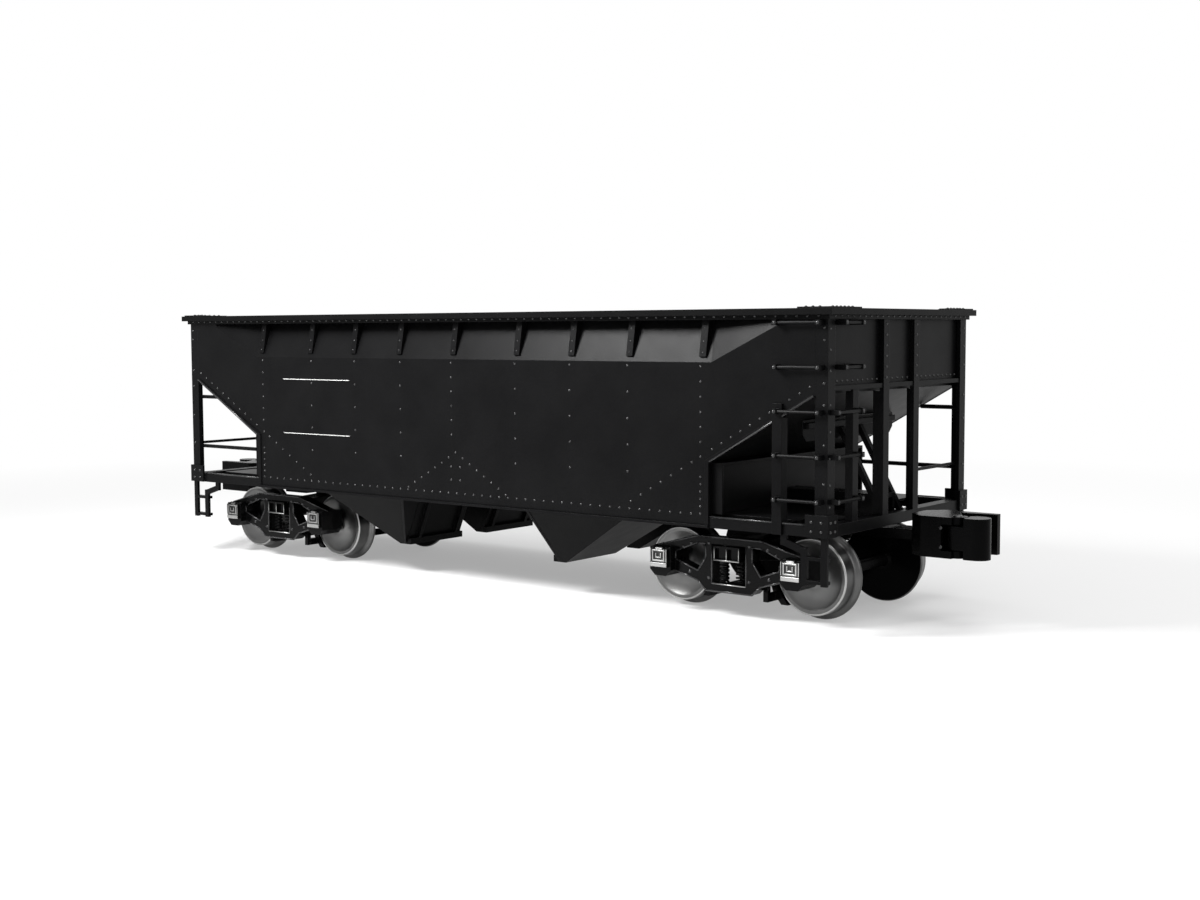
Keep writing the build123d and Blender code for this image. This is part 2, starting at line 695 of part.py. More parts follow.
def wheelset(x):
    """Two wheels on one axle, with journals beyond them."""
    near = Plane(origin=(x, -WHEEL_BACK, AXLE_Z), z_dir=(0, -1, 0)) * wheel()
    along = Plane(origin=(x, -WHEEL_BACK, AXLE_Z), z_dir=(0, 1, 0))
    axle = extrude(along * RegularPolygon(AXLE_RADIUS, AXLE_SIDES), 2 * WHEEL_BACK, dir=(0, 1, 0))
    tips = Plane(origin=(x, 0, AXLE_Z), z_dir=(0, 1, 0)) * Cylinder(JOURNAL_RADIUS, 2 * JOURNAL_END)
    return fuse([near, far(near), axle, tips])


def journal_box(x):
    """Box round an axle's end, its lower corners cut off."""
    box = block(x - BOX_HALF, x + BOX_HALF, -BOX_OUT, -BOX_IN, BOX_LOW, BOX_HIGH)
    low_edges = box.edges().filter_by(Axis.Y).group_by(Axis.Z)[0]
    return chamfer(low_edges, BOX_CORNER)


def side_frame():
    """Near side frame about the truck's middle: arched chord, columns, tension members and boxes."""
    b = HALF_BASE
    edge = b + BOX_HALF
    half = [
        (0, FRAME_HIGH),
        (CHORD_RUN, FRAME_HIGH),
        (edge, BOX_HIGH),
        (edge, BOX_LOW + BOX_CORNER),
        (b - BOX_HALF, BOX_LOW + BOX_CORNER),
        (MEMBER_X, MEMBER_Z - CHORD * 1.4),
        (WINDOW_HALF + COLUMN, FRAME_LOW),
        (0, FRAME_LOW),
    ]
    frame = side_plate(half + [(-x, z) for x, z in reversed(half[1:-1])], -FRAME_OUT, -FRAME_IN)
    chord_low = FRAME_HIGH - CHORD
    frame = frame - block(-WINDOW_HALF, WINDOW_HALF, -FRAME_OUT, -FRAME_IN, PLANK_TOP, chord_low)
    column = WINDOW_HALF + COLUMN
    box_in = b - BOX_HALF
    hole = [
        (column, chord_low),
        (column, MEMBER_Z + 2 * COLUMN),
        (MEMBER_X, MEMBER_Z),
        (box_in, BOX_LOW + BOX_CORNER + CHORD * 1.6),
        (box_in, BOX_HIGH - CHORD / 2),
        (CHORD_RUN, chord_low),
    ]
    for side in (1, -1):
        frame = frame - side_plate([(side * x, z) for x, z in hole], -FRAME_OUT, -FRAME_IN)
        frame = frame + journal_box(side * b)
        bore = Plane(origin=(side * b, -JOURNAL_END - JOURNAL_SLACK, AXLE_Z), z_dir=(0, 1, 0))
        frame = frame - bore * Cylinder(JOURNAL_RADIUS + RUNNING_GAP, JOURNAL_END, align=ON_BASE)
    return frame


def journal_lid(x):
    return block(x - LID_HALF, x + LID_HALF, -BOX_OUT - LID_THICK, -BOX_OUT, LID_LOW, LID_HIGH)


def truck_bolster():
    """Fish-bellied bolster with two pockets in each end."""
    half = TRUCK_BOLSTER_HALF
    end = FRAME_OUT + BOLSTER_END
    flat = CENTER_PLATE_RADIUS + BOLSTER_END
    side = [
        (flat, TRUCK_BOLSTER_TOP),
        (FRAME_IN, BOLSTER_END_HIGH),
        (end, BOLSTER_END_HIGH),
        (end, BOLSTER_END_LOW),
        (FRAME_IN, BOLSTER_END_LOW),
        (flat, TRUCK_BOLSTER_BELLY),
    ]
    beam = cross_plate(side + [(-y, z) for y, z in reversed(side)], -half, half)
    wall = POCKET_WALL
    for x0, x1 in ((-half + wall, -wall / 2), (wall / 2, half - wall)):
        for y0, y1 in ((-end, -end + POCKET_DEPTH), (end - POCKET_DEPTH, end)):
            beam = beam - block(x0, x1, y0, y1, BOLSTER_END_LOW + wall, BOLSTER_END_HIGH - wall)
    return beam - post(KINGPIN_RADIUS + RUNNING_GAP, 0, 0, 0, RIM_TOP)


def springs():
    """Twin springs between each frame's plank and the bolster, as plain columns."""
    section = Plane.XY.offset(PLANK_TOP) * RegularPolygon(SPRING_RADIUS, SPRING_SIDES)
    column = extrude(section, BOLSTER_END_LOW - PLANK_TOP, dir=(0, 0, 1))
    y = (FRAME_IN + FRAME_OUT) / 2
    return [Pos(sx * SPRING_SPREAD, sy * y, 0) * column for sx in (1, -1) for sy in (1, -1)]


def brake_beam():
    """Brake beam hung from the frames beside the right wheelset, with its two shoes."""
    face = TREAD + SHOE_GAP
    y0 = WHEEL_BACK + FLANGE_WIDTH + SHOE_GAP
    low, high = SHOE_SPAN
    front = [(-sqrt(face ** 2 - z ** 2), -z) for z in (low, (low + high) / 2, high)]
    back = [(x - SHOE_THICK, z) for x, z in reversed(front)]
    shoe = Pos(HALF_BASE, 0, AXLE_Z) * side_plate(front + back, -WHEEL_FACE, -y0)
    x1 = HALF_BASE - sqrt(FLANGE ** 2 - BEAM_DROP ** 2) - BEAM_GAP
    x0 = x1 - BEAM_DEEP
    top = AXLE_Z - BEAM_DROP
    beam = block(x0, x1, -FRAME_IN, FRAME_IN, top - BEAM_HIGH, top)
    hanger = block(x0, x1, -FRAME_IN, -FRAME_IN + BEAM_DEEP, top - BEAM_HIGH, HANGER_TOP)
    return fuse([beam, shoe, far(shoe), hanger, far(hanger)])


def coupler_arm():
    """Drawbar, flared head with its guard arm, and the clevis for the knuckle."""
    rise_x = TRUCK_X + CENTER_PLATE_RADIUS + ARM_CLEAR
    neck_x = HALF_L + NECK_REACH
    arm = block(rise_x, neck_x, -ARM_HALF, ARM_HALF, ARM_TOP - ARM_THICK, ARM_TOP)
    root = block(TRUCK_X + TRUCK_BOLSTER_HALF, rise_x, -ARM_HALF, ARM_HALF, ROOT_LOW, ROOT_LOW + ARM_THICK)
    rise = block(rise_x, rise_x + ARM_THICK, -ARM_HALF, ARM_HALF, ROOT_LOW, ARM_TOP)
    outline = [
        (neck_x, -ARM_HALF),
        (neck_x + FLARE, -HEAD_HALF),
        (KNUCKLE_X, -HEAD_HALF),
        (KNUCKLE_X, KNUCKLE_Y + KNUCKLE_RADIUS),
        (JAW_X, HEAD_HALF - GUARD_WIDTH),
        (COUPLER_FACE - GUARD_TIP, HEAD_HALF - GUARD_WIDTH / 2),
        (COUPLER_FACE - GUARD_TIP, HEAD_HALF),
        (neck_x + FLARE, HEAD_HALF),
        (neck_x, ARM_HALF),
    ]
    head = flat_plate(outline, COUPLER_BOTTOM, COUPLER_TOP)
    lug = post(KNUCKLE_RADIUS, KNUCKLE_X, KNUCKLE_Y, COUPLER_BOTTOM, COUPLER_TOP)
    mouth_low = COUPLER_BOTTOM + LUG_THICK
    mouth_high = COUPLER_TOP - LUG_THICK
    jaw_x = KNUCKLE_X - KNUCKLE_RADIUS - KNUCKLE_GAP
    mouth = block(jaw_x, COUPLER_FACE, -PAST, HEAD_HALF - GUARD_WIDTH, mouth_low, mouth_high)
    pin = post(KNUCKLE_PIN, KNUCKLE_X, KNUCKLE_Y, COUPLER_BOTTOM, COUPLER_TOP)
    return fuse([arm, root, rise, head, lug]) - mouth + pin


def knuckle():
    """Hinged knuckle on the head's pin: a hub between the lugs and a full-height hooked nose."""
    z0 = COUPLER_BOTTOM + LUG_THICK + KNUCKLE_GAP
    z1 = COUPLER_TOP - LUG_THICK - KNUCKLE_GAP
    hub = post(KNUCKLE_RADIUS, KNUCKLE_X, KNUCKLE_Y, z0, z1)
    nose_x = COUPLER_FACE - KNUCKLE_NOSE
    y0 = KNUCKLE_Y - KNUCKLE_NOSE
    limb = block(KNUCKLE_X, nose_x, y0, KNUCKLE_Y, z0, z1)
    nose = post(KNUCKLE_NOSE, nose_x, KNUCKLE_Y, COUPLER_BOTTOM, COUPLER_TOP)
    cheek = block(KNUCKLE_X + CHEEK_REACH, nose_x, y0, KNUCKLE_Y, COUPLER_BOTTOM, COUPLER_TOP)
    whole = fuse([hub, limb, nose, cheek])
    for low, high in ((COUPLER_BOTTOM, z0), (z1, COUPLER_TOP)):
        whole = whole - post(KNUCKLE_RADIUS + KNUCKLE_GAP, KNUCKLE_X, KNUCKLE_Y, low, high)
    return whole - post(KNUCKLE_PIN + RUNNING_GAP, KNUCKLE_X, KNUCKLE_Y, z0, z1)


def write(name, *shapes):
    solids = []
    for shape in shapes:
        solids += shape.solids()
    export_step(Compound(children=solids) if len(solids) > 1 else solids[0], f"parts/{name}.step")


lids = [journal_lid(HALF_BASE), journal_lid(-HALF_BASE)]
side_parts = {"side_panel": [side_panel()], "stakes": stakes(), "side_sill": [side_sill()]}
end_parts = {
    "end_sheet": [end_sheet()],
    "slope_sheet": [slope_sheet()],
    "sill_hood": [sill_hood()],
    "bay_chutes": [bay_chute(), far(bay_chute())],
    "bay_doors": [bay_door(), far(bay_door())],
    "end_sill": [end_sill()],
    "corner_posts": [corner_post(), far(corner_post())],
    "end_posts": [end_post(), far(end_post())],
    "end_braces": [end_brace(), far(end_brace())],
    "body_bolster": [body_bolster()],
    "bulkhead": [bulkhead()],
    "side_ladder": side_ladder(),
    "end_ladder": end_ladder(),
    "corner_bars": corner_bars(),
    "steps": [step(), far(step())],
    "truck_frames": [at_truck(s) for s in (side_frame(), far(side_frame()))],
    "journal_lids": [at_truck(s) for s in lids + [far(lid) for lid in lids]],
    "truck_bolster": [at_truck(truck_bolster())],
    "springs": [at_truck(s) for s in springs()],
    "brake_beams": [at_truck(brake_beam()), at_truck(left(brake_beam()))],
    "coupler_arm": [coupler_arm()],
    "knuckle": [knuckle()],
    "wheelset_outer": [wheelset(TRUCK_X + HALF_BASE)],
    "wheelset_inner": [wheelset(TRUCK_X - HALF_BASE)],
}

os.makedirs("parts", exist_ok=True)
write("top_rim", top_rim())
write("center_ridge", center_ridge())
write("center_sill", center_sill())
for name, shapes in side_parts.items():
    write(name + "_near", *shapes)
    write(name + "_far", *[left(s) for s in shapes])
for name, shapes in end_parts.items():
    write(name + "_right", *shapes)
    write(name + "_left", *[left(s) for s in shapes])
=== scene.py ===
import bpy
import bmesh
import json
from math import copysign, cos, pi, radians, sin, tan
from mathutils import Matrix, Vector

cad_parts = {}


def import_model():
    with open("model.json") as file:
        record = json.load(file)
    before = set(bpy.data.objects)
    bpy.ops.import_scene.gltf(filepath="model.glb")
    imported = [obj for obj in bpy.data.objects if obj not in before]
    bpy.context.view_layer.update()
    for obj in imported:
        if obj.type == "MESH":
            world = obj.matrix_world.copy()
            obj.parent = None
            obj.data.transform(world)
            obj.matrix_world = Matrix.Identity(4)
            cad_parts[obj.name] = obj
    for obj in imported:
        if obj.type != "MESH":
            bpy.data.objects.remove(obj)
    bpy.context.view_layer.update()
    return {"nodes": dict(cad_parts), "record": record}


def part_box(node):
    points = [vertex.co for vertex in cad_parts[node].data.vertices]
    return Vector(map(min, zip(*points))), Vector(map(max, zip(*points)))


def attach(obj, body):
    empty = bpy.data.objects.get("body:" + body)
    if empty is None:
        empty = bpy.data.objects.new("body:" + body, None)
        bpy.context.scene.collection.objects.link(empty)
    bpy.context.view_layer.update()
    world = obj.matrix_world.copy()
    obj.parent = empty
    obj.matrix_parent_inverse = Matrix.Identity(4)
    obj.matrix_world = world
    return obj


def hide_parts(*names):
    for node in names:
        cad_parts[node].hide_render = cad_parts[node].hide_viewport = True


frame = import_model()
behaviour = frame["record"]["behaviour"]
bodies = behaviour["bodies"]
joints = {joint["name"]: joint for joint in behaviour["joints"]}
MM = 0.001
ENDS = (("right", 1), ("left", -1))


def span(node):
    """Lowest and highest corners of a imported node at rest, in millimetres."""
    return [[round(value / MM, 2) for value in corner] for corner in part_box(node)]


def pivot(name):
    """Place of a joint, in millimetres."""
    return [round(value / MM, 2) for value in joints[name]["pos_m"]]


# Body, in millimetres
HALF_L = span("side_sill_near")[1][0]
HALF_W = -span("stakes_near")[0][1]
END_INSET = 1.2
END_X = HALF_L - END_INSET
POST_LEG = 3.0
RIM_UNDER = span("corner_posts_right")[1][2]
RIM_LEG = 0.6
GUSSET_TOP = span("top_rim")[1][2]
CUTOUT_X = span("bulkhead_right")[0][0]
CUTOUT_TOP_Z = span("end_sheet_right")[0][2]
SLOPE = tan(radians(30.0))
SHOE = -span("side_sill_near")[0][1] - HALF_W

# Stakes, from the right end to the left
STAKE_FOOT = span("stakes_near")[0][2]
STAKE_WIDTH = 1.8
STAKE_PITCH = 20.2
STAKE_LEAN = 1.5
MIDDLE_X = -1.0
STAKE_END = span("stakes_near")[1][0] - STAKE_WIDTH / 2
STAKE_OUT = (STAKE_END, STAKE_END - STAKE_PITCH, STAKE_END / 2, STAKE_PITCH)
STAKE_X = STAKE_OUT + (MIDDLE_X,) + tuple(-x for x in reversed(STAKE_OUT))

# Ladders
LADDER_INSET = 12.0
LADDER_X = HALF_L - LADDER_INSET
STILE_Y = HALF_W - LADDER_INSET
LADDER_FOOT = 28.7
RUNG_COUNT = 5
RUNG_PITCH = 9.4
RUNG_Z = [LADDER_FOOT + RUNG_PITCH * i for i in range(RUNG_COUNT)]
BRACKET_OUT = -span("side_ladder_right")[0][1] - HALF_W

# Trucks and couplers
TRUCK_X = pivot("truck_swivel_right")[0]
HALF_BASE = pivot("wheel_turn_outer_right")[0] - TRUCK_X
AXLE_Z = pivot("wheel_turn_outer_right")[2]
FRAME_IN = 22.6
FRAME_OUT = 26.0
PLANK_TOP = span("springs_right")[0][2]
SPRING_TOP = span("springs_right")[1][2]
SPRING_SPREAD = 2.2
BOLSTER_OUT = span("truck_bolster_right")[1][1]
LID_Y = span("journal_lids_right")[1][1]
LID_LOW = span("journal_lids_right")[0][2]
LID_HIGH = span("journal_lids_right")[1][2]
COUPLER_SIDE = span("coupler_arm_right")[1][1]
COUPLER_TOP = span("coupler_arm_right")[1][2]
KNUCKLE = pivot("knuckle_open_right")[:2]


def slope_z(x):
    """Height of the end slope sheet's underside."""
    return CUTOUT_TOP_Z - (END_X - abs(x)) * SLOPE


def link(obj):
    bpy.context.scene.collection.objects.link(obj)
    return obj


# Node materials: scales of their noise, and heights in metres

TONE_SCALE = 90
SHEEN_SCALE = 260
STAIN_SCALE = 160
WEAR_SCALE = 120
PEEL_STRENGTH = 0.25
PEEL_HEIGHT = 0.00006
RING_HEIGHT = 0.00003
EDGE_ROUND = 0.00016
COAT_ROUGH = 0.12


def new_material(name):
    material = bpy.data.materials.new(name)
    material.use_nodes = True
    tree = material.node_tree
    shader = tree.nodes["Principled BSDF"]
    coords = tree.nodes.new("ShaderNodeTexCoord")
    return material, tree, shader, coords


def noise(tree, coords, scale, detail=4.0):
    node = tree.nodes.new("ShaderNodeTexNoise")
    node.inputs["Scale"].default_value = scale
    node.inputs["Detail"].default_value = detail
    tree.links.new(coords.outputs["Object"], node.inputs["Vector"])
    return node.outputs["Fac"]


def ramp(tree, value, stops):
    """Colors over a value; a stop of one number is a grey."""
    node = tree.nodes.new("ShaderNodeValToRGB")
    while len(node.color_ramp.elements) < len(stops):
        node.color_ramp.elements.new(0.5)
    for element, (place, color) in zip(node.color_ramp.elements, stops):
        element.position = place
        element.color = (*color, 1) if len(color) == 3 else (color[0],) * 3 + (1,)
    tree.links.new(value, node.inputs["Fac"])
    return node.outputs["Color"]


def bump(tree, shader, value, strength, distance, radius=None):
    """Relief from a value, over edges rounded to a radius where one is given."""
    node = tree.nodes.new("ShaderNodeBump")
    node.inputs["Strength"].default_value = strength
    node.inputs["Distance"].default_value = distance
    tree.links.new(value, node.inputs["Height"])
    if radius:
        bevel = tree.nodes.new("ShaderNodeBevel")
        bevel.samples = 4
        bevel.inputs["Radius"].default_value = radius
        tree.links.new(bevel.outputs["Normal"], node.inputs["Normal"])
    tree.links.new(node.outputs["Normal"], shader.inputs["Normal"])


def paint(name, dark, light, rough, grain, specular, coat=0.0):
    """Paint: fine orange peel, faint dust and uneven sheen."""
    material, tree, shader, coords = new_material(name)
    tone = ramp(tree, noise(tree, coords, TONE_SCALE, 6), [(0.35, dark), (0.75, light)])
    tree.links.new(tone, shader.inputs["Base Color"])
    sheens = [(0.3, (rough - 0.015,)), (0.7, (rough + 0.02,))]
    sheen = ramp(tree, noise(tree, coords, SHEEN_SCALE, 3), sheens)
    tree.links.new(sheen, shader.inputs["Roughness"])
    bump(tree, shader, noise(tree, coords, grain, 2), PEEL_STRENGTH, PEEL_HEIGHT, EDGE_ROUND)
    shader.inputs["Specular IOR Level"].default_value = specular
    shader.inputs["Coat Weight"].default_value = coat
    shader.inputs["Coat Roughness"].default_value = COAT_ROUGH
    return material


def steel(name, dark, light, rough, ring, depth=0.15):
    """Turned steel: rings round the axle line, stains between them."""
    material, tree, shader, coords = new_material(name)
    wave = tree.nodes.new("ShaderNodeTexWave")
    wave.wave_type = "RINGS"
    wave.rings_direction = "Y"
    wave.inputs["Scale"].default_value = ring
    wave.inputs["Distortion"].default_value = 1.2
    tree.links.new(coords.outputs["Object"], wave.inputs["Vector"])
    tone = ramp(tree, noise(tree, coords, STAIN_SCALE, 4), [(0.3, dark), (0.7, light)])
    tree.links.new(tone, shader.inputs["Base Color"])
    wear = [(0.3, (rough - 0.02,)), (0.75, (rough + 0.04,))]
    worn = ramp(tree, noise(tree, coords, WEAR_SCALE, 2), wear)
    tree.links.new(worn, shader.inputs["Roughness"])
    bump(tree, shader, wave.outputs["Fac"], depth, RING_HEIGHT)
    shader.inputs["Metallic"].default_value = 1.0
    return material


# Paints, with darkest and lightest color, roughness, grain, specular level and coat
BODY = paint("body_paint", (0.002, 0.002, 0.0022), (0.0034, 0.0034, 0.0036), 0.38, 2600, 0.056)
# Darker copy of the body paint for the top rim and the bays: painted shade under the rim's overhang and
# on the bays' walls
SHADE_PAINT = paint("rim_shade_paint", (0.0017, 0.0017, 0.0018), (0.0028, 0.0028, 0.0029), 0.4, 2600, 0.05)
# Lighter, glossier copy of the body paint for rivet and bolt heads, rolled edges and frame beads:
# painted highlights
HIGHLIGHT_PAINT = paint("rivet_highlight_paint", (0.011, 0.011, 0.0115), (0.017, 0.017, 0.0175), 0.26, 2600, 0.42)
GLOSS = paint("truck_paint", (0.0012, 0.0012, 0.0013), (0.0022, 0.0022, 0.0023), 0.22, 1500, 0.06, 0.02)
COUPLER = paint("coupler_paint", (0.0009, 0.0009, 0.001), (0.0017, 0.0017, 0.0018), 0.26, 1500, 0.035)
INSIDE = paint("hopper_paint", (0.003, 0.003, 0.0032), (0.006, 0.006, 0.0062), 0.46, 2200, 0.12)
RULE = paint("rule_white", (0.46, 0.46, 0.45), (0.54, 0.54, 0.53), 0.45, 2600, 0.2)

# Steels, with darkest and lightest color, roughness, scale of rings and their strength
TREAD = steel("wheel_tread", (0.075, 0.075, 0.075), (0.13, 0.13, 0.128), 0.34, 900)
PLATE = steel("wheel_plate", (0.11, 0.11, 0.11), (0.15, 0.15, 0.148), 0.4, 300, 0.02)
# Lighter steel on the rounded outer edge of the wheels' rims: a painted highlight
EDGE_HIGHLIGHT = steel("wheel_edge_highlight", (0.3, 0.3, 0.3), (0.42, 0.42, 0.41), 0.3, 900)
# Light steel for the journal lids' raised frames, hinges and bands, and for bars along the trucks'
# edges: painted highlights
HIGHLIGHT_STEEL = steel("lid_frame", (0.28, 0.28, 0.28), (0.44, 0.44, 0.43), 0.32, 300)
LID = steel("lid_plate", (0.03, 0.03, 0.03), (0.06, 0.06, 0.059), 0.3, 300)


def dress(name, material):
    node = frame["nodes"][name]
    node.data.materials.clear()
    node.data.materials.append(material)


for name in frame["nodes"]:
    if name.startswith("wheelset"):
        dress(name, TREAD)
    elif name.startswith("journal"):
        dress(name, LID)
    elif name.startswith(("coupler", "knuckle")):
        dress(name, COUPLER)
    # The top rim and the bays take the darker paint, which paints shade on them
    elif name == "top_rim" or name.startswith("bay"):
        dress(name, SHADE_PAINT)
    elif name in bodies["car_body"]:
        dress(name, INSIDE if name.startswith(("slope", "center_ridge", "sill_hood")) else BODY)
    else:
        dress(name, GLOSS)


# Mesh forms, in millimetres until the object is made

def mesh_object(name, build, materials, body, smooth=True):
    """An object from a mesh that build fills in, riding on a body."""
    mesh = bpy.data.meshes.new(name)
    form = bmesh.new()
    build(form)
    bmesh.ops.scale(form, vec=(MM, MM, MM), verts=form.verts)
    bmesh.ops.recalc_face_normals(form, faces=form.faces)
    form.to_mesh(mesh)
    form.free()
    for face in mesh.polygons:
        face.use_smooth = smooth
    for material in materials:
        mesh.materials.append(material)
    obj = link(bpy.data.objects.new(name, mesh))
    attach(obj, body)
    return obj


def basis(normal):
    """Rotation that takes +Z to this direction."""
    return Vector((0, 0, 1)).rotation_difference(Vector(normal)).to_matrix()


def half_turn(form):
    """Turns the form half round about the car's middle."""
    bmesh.ops.rotate(form, cent=(0, 0, 0), matrix=Matrix.Rotation(pi, 3, "Z"), verts=form.verts)


def turned(build):
    def built(form):
        build(form)
        half_turn(form)
    return built


DOME_RINGS = ((1.0, 0.0), (0.8, 0.6))


def dome(form, place, normal, radius, height, sides=8):
    """A low rivet head on a surface, with its rings as shares of its radius and height."""
    turn = basis(normal)
    place = Vector(place)
    rings = []
    for share, lift in DOME_RINGS:
        ring = []
        for i in range(sides):
            angle = 2 * pi * i / sides
            point = Vector((radius * share * cos(angle), radius * share * sin(angle), height * lift))
            ring.append(form.verts.new(place + turn @ point))
        rings.append(ring)
    top = form.verts.new(place + turn @ Vector((0, 0, height)))
    for i in range(sides):
        j = (i + 1) % sides
        form.faces.new((rings[0][i], rings[0][j], rings[1][j], rings[1][i]))
        form.faces.new((rings[1][i], rings[1][j], top))


def cuboid(form, low, high):
    corners = [
        form.verts.new((x, y, z))
        for x in (low[0], high[0])
        for y in (low[1], high[1])
        for z in (low[2], high[2])
    ]
    for face in ((0, 1, 3, 2), (4, 6, 7, 5), (0, 4, 5, 1), (2, 3, 7, 6), (0, 2, 6, 4), (1, 5, 7, 3)):
        form.faces.new([corners[i] for i in face])


def plate(form, low, high, edge):
    """A plate with rounded edges."""
    known = set(form.edges)
    cuboid(form, low, high)
    edges = [e for e in form.edges if e not in known]
    bmesh.ops.bevel(form, geom=edges, offset=edge, segments=2, profile=0.5, affect="EDGES")


def prism(form, first, second):
    """A closed solid between two outlines with as many points each."""
    ends = [[form.verts.new(point) for point in outline] for outline in (first, second)]
    count = len(first)
    for k in range(count):
        j = (k + 1) % count
        form.faces.new((ends[0][k], ends[0][j], ends[1][j], ends[1][k]))
    form.faces.new(ends[0])
    form.faces.new(ends[1])


def around(radius, sides):
    """Points of a many-sided ring round a middle, as two distances each."""
    angles = [2 * pi * k / sides for k in range(sides)]
    return [(radius * cos(angle), radius * sin(angle)) for angle in angles]


def bar(form, start, end, radius):
    """A thin eight-sided bar."""
    turn = basis((Vector(end) - Vector(start)).normalized())
    spokes = [turn @ Vector((*point, 0)) for point in around(radius, 8)]
    prism(form, *[[Vector(place) + spoke for spoke in spokes] for place in (start, end)])


def spaced(start, end, pitch):
    """Places from start to end, as near this pitch as comes out even."""
    count = max(1, round(abs(end - start) / pitch))
    return [start + (end - start) * i / count for i in range(count + 1)]


# Rivets and bolts of the sides

RIVET = 0.3
SMALL_RIVET = 0.8 * RIVET
RIVET_HIGH = 0.2
BOLT = 0.42
SMALL_BOLT = 0.8 * BOLT
BOLT_HIGH = 0.25
COLUMN_IN = 0.5
MIDDLE_COLUMN_X = MIDDLE_X - 0.6
WIDE_Z = (56.8, 50.75, 44.7, 38.6, 32.5)
DENSE_Z = (56.8, 53.4, 50.05, 46.7, 43.4, 40.1, 36.8)
FOOT_Z = (32.3, 30.7, 29.05, 27.4, 25.75, 24.1)
MIDDLE_Z = (56.8, 53.2, 49.6, 46.0, 42.4, 38.7)
FOOT_ROW = (-71.6, 71.6, 2.86)
FOOT_ROW_Z = 23.95
CHEVRON_X = -0.3
CHEVRON_Z = 34.3
CHEVRON_OUT = 2.4
CHEVRON_DOWN = 1.385
CHEVRON_COUNT = 7
FOOT_PAIR_X = (-1.9, 1.2)
FOOT_PAIR_Z = (30.65, 27.3)
SLOPE_ROWS = ((54.8, 71.8, 2.83), (77.2, 101.8, 2.46))
SLOPE_ROW_UP = 2.6


def side_spots():
    """Places of the rivets on the near side's flat sheet, as X and Z.

    They stand in columns under the stakes, in rows along the foot and above the slopes, and in a
    chevron that follows the ridge inside.
    """
    spots = [(x, FOOT_ROW_Z) for x in spaced(*FOOT_ROW)]
    for x in STAKE_X:
        column = x - copysign(COLUMN_IN, x)
        if x == MIDDLE_X:
            spots += [(MIDDLE_COLUMN_X, z) for z in MIDDLE_Z]
        elif abs(x) == STAKE_END:
            spots += [(column, z) for z in DENSE_Z + FOOT_Z]
        else:
            spots += [(column, z) for z in WIDE_Z]
    spots.append((CHEVRON_X, CHEVRON_Z))
    for i in range(1, CHEVRON_COUNT + 1):
        spots += [(CHEVRON_X + side * CHEVRON_OUT * i, CHEVRON_Z - CHEVRON_DOWN * i) for side in (1, -1)]
    spots += [(x, z) for x in FOOT_PAIR_X for z in FOOT_PAIR_Z]
    for side in (1, -1):
        for row in SLOPE_ROWS:
            spots += [(side * x, slope_z(x) + SLOPE_ROW_UP) for x in spaced(*row)]
    return spots


RIM_ROW_Z = 67.7
RIM_ROW_IN = 2.0
RIM_ROW_PITCH = 2.6
POST_COLUMN_IN = 0.9
POST_Z = (65.2, 62.6, 53.6, 49.0, 40.6, 32.4)
SHOE_BOLT_X = (102.6, 105.0)
SHOE_BOLT_Z = (24.4, 22.4)
STAKE_Z = (59.9, 62.4, 65.2)
STAKE_FACE = (0, -1, 0.16)
CORNER_STILE_IN = 1.5


def side_heads(form):
    """Rivet and bolt heads of the near side, turned half round for the far side."""
    out = (0, -1, 0)
    for x, z in side_spots():
        dome(form, (x, -HALF_W, z), out, RIVET, RIVET_HIGH)
    for x in spaced(-HALF_L + RIM_ROW_IN, HALF_L - RIM_ROW_IN, RIM_ROW_PITCH):
        dome(form, (x, -HALF_W - RIM_LEG, RIM_ROW_Z), out, RIVET, RIVET_HIGH)
    for end in (1, -1):
        for z in POST_Z:
            dome(form, (end * (HALF_L - POST_COLUMN_IN), -HALF_W, z), out, RIVET, RIVET_HIGH)
        for z in SHOE_BOLT_Z:
            for x in SHOE_BOLT_X:
                dome(form, (end * x, -HALF_W - SHOE, z), out, SMALL_BOLT, BOLT_HIGH)
    for x in STAKE_X:
        for z in STAKE_Z:
            lean = STAKE_LEAN * (z - STAKE_FOOT) / (RIM_UNDER - STAKE_FOOT)
            dome(form, (x, -HALF_W + lean, z), STAKE_FACE, SMALL_RIVET, RIVET_HIGH)
    for x in (LADDER_X, HALF_L - CORNER_STILE_IN):
        for z in RUNG_Z:
            dome(form, (x, -HALF_W - BRACKET_OUT, z), out, BOLT, BOLT_HIGH)


# Rivets and bolts of the ends, and of the gussets on top of the rim's corners

SHEET_ROW_Z = 53.9
SHEET_ROW_PITCH = 2.3
SHEET_ROW_FROM = 9.6
SHEET_ROW_IN = POST_LEG + 0.6
MIDDLE_ROW = (-5.0, 5.0, 2.5)
END_COLUMN_IN = 1.0
END_COLUMN_Z = (65.0, 60.6, 56.2, 49.0, 43.4, 37.8, 32.2, 27.6)
CENTER_POST_Y = 7.3
CENTER_POST_ROW = (54.2, 66.0, 2.35)
SHOE_BOLT_Y = (-30.9, -32.8)
OPEN_RUNGS = 3
OPEN_RUNG_Y = -31.7
HIGH_RUNG_Y = -28.7
GUSSET_X = (100.75, 102.43, 104.1)
GUSSET_ROW = (23.0, 31.4, 1.7)


